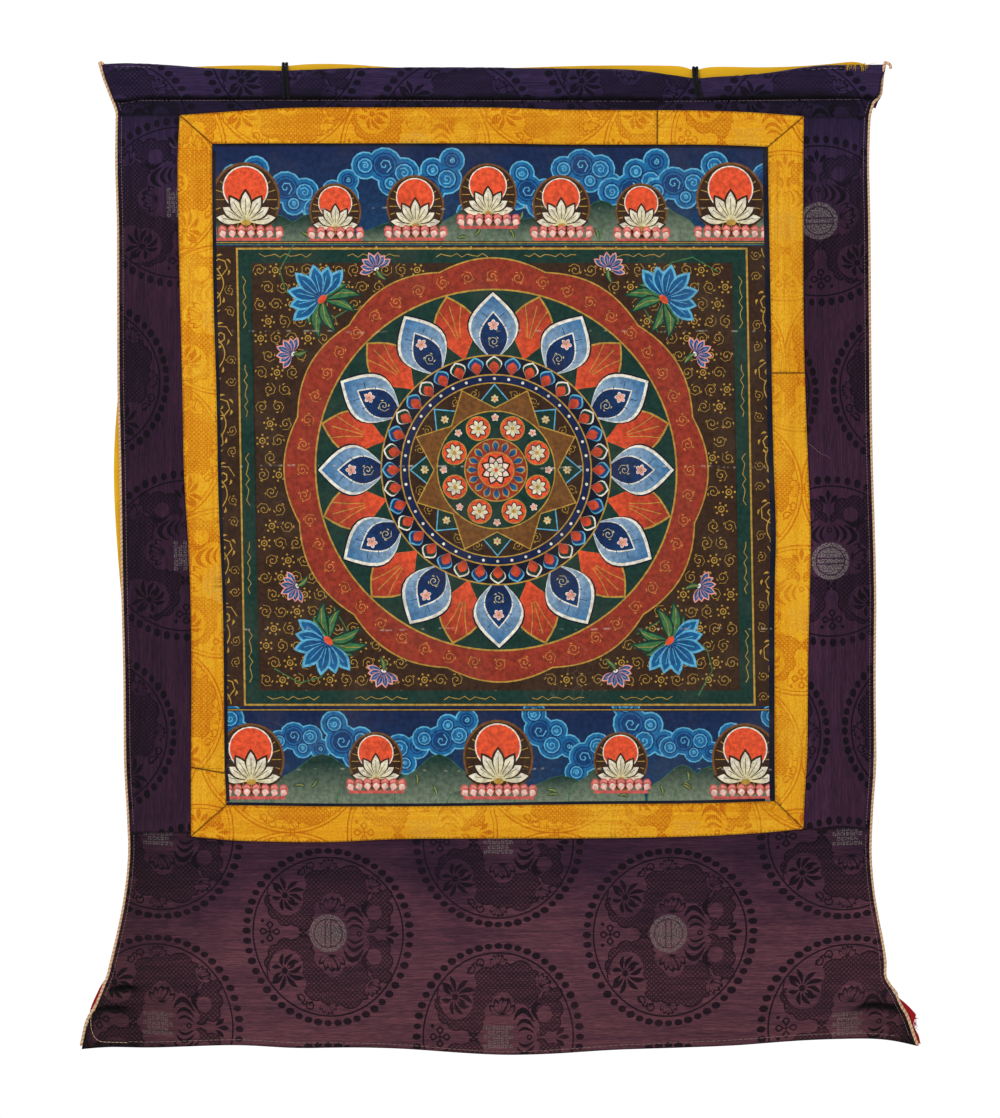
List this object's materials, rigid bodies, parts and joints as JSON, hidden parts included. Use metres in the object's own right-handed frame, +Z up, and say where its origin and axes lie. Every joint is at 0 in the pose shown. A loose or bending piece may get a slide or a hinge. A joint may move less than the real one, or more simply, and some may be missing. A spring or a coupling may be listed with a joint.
{
  "type": "thangka scroll painting",
  "caption": "Hanging painted panel in a pieced gold brocade frame on a flared plum brocade mount, with rod pocket, ties, piping, red lining and yellow silk cover.",
  "frame": {"origin": "middle of the rod pocket's top fold, halfway through the pocket's depth, where the hanging is held", "axes": "+Z up, -Y towards the viewer who faces the painting, +X to that viewer's right"},
  "size_m": [0.7146, 0.0188, 0.8455],
  "materials": {
    "painted_canvas": "matte opaque paint on sized canvas, with fine cracks and thin gold lines",
    "gold_brocade": "silky yellow-gold weave with a darker self pattern",
    "plum_brocade": "dark plum silk weave with woven roundels, faded towards the foot",
    "red_lining": "thin plain weave, frayed at one corner",
    "yellow_silk": "thin shiny plain silk",
    "piping_cord": "two-colour twisted cotton cord",
    "dark_cord": "thin twisted dark thread cord"
  },
  "bodies": {
    "root": {"painted_panel": "painted_canvas", "gold_top_left": "gold_brocade", "gold_top_right": "gold_brocade", "gold_left_upper": "gold_brocade", "gold_left_lower": "gold_brocade", "gold_right_upper": "gold_brocade", "gold_right_lower": "gold_brocade", "gold_bottom": "gold_brocade", "mount_top": "plum_brocade", "mount_left": "plum_brocade", "mount_right": "plum_brocade", "mount_bottom": "plum_brocade", "lining": "red_lining", "veil": "yellow_silk", "piping_left": "piping_cord", "piping_right": "piping_cord", "tie_left": "dark_cord", "tie_right": "dark_cord"}
  },
  "joints": []
}
